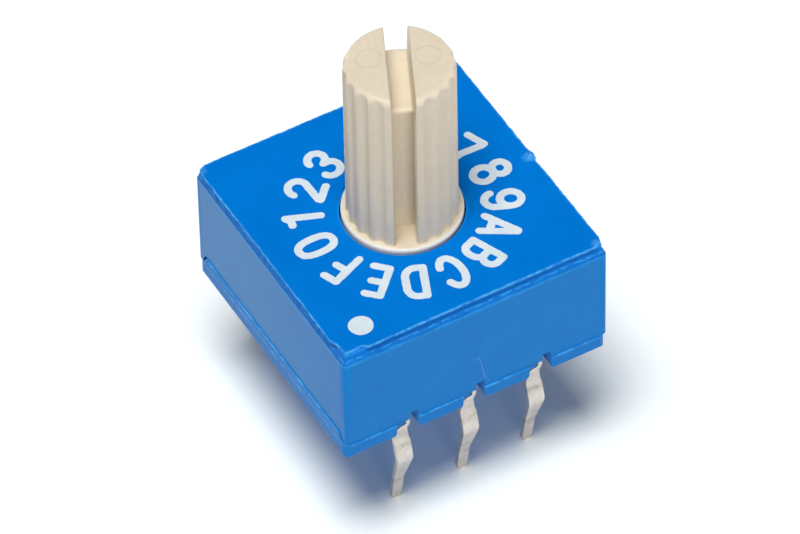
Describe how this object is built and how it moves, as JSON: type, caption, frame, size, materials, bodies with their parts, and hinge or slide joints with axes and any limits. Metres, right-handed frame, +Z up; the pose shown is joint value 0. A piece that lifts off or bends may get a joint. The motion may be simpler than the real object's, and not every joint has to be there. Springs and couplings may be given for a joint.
{
  "type": "rotary switch",
  "caption": "Square hexadecimal rotary code switch with a splined, slotted shaft and kinked board terminals.",
  "frame": {"origin": "centre of the base's underside, on the board face that the switch seats on", "axes": "+Z up the shaft, -Y towards the front terminal row, +X to the right"},
  "size_m": [0.01, 0.01, 0.0162],
  "materials": {
    "housing_plastic": "matt",
    "film": "satin",
    "base_plastic": "satin",
    "terminal_tin": "tin plated, satin",
    "contact_gold": "gold plated",
    "rotor_plastic": "satin",
    "seal_rubber": "matt",
    "washer_plastic": "satin",
    "spring_steel": "polished"
  },
  "bodies": {
    "case": {"housing": "housing_plastic", "legend_film": "film", "base": "base_plastic", "terminal_1": "terminal_tin", "terminal_common_front": "terminal_tin", "terminal_2": "terminal_tin", "terminal_4": "terminal_tin", "terminal_common_rear": "terminal_tin", "terminal_8": "terminal_tin", "contact_finger_1": "contact_gold", "contact_finger_common_front": "contact_gold", "contact_finger_2": "contact_gold", "contact_finger_4": "contact_gold", "contact_finger_common_rear": "contact_gold", "contact_finger_8": "contact_gold", "click_spring_left": "spring_steel", "click_spring_right": "spring_steel"},
    "turning_unit": {"rotor": "rotor_plastic", "code_disc": "contact_gold", "seal_ring": "seal_rubber", "thrust_washer": "washer_plastic"}
  },
  "joints": [
    {"name": "shaft_turn", "type": "hinge", "parent": "case", "child": "turning_unit", "pos_m": [0, -0.00014, 0.0051], "axis": [0, 0, 1], "continuous": true, "deforming": ["click_spring_left", "click_spring_right"]}
  ]
}
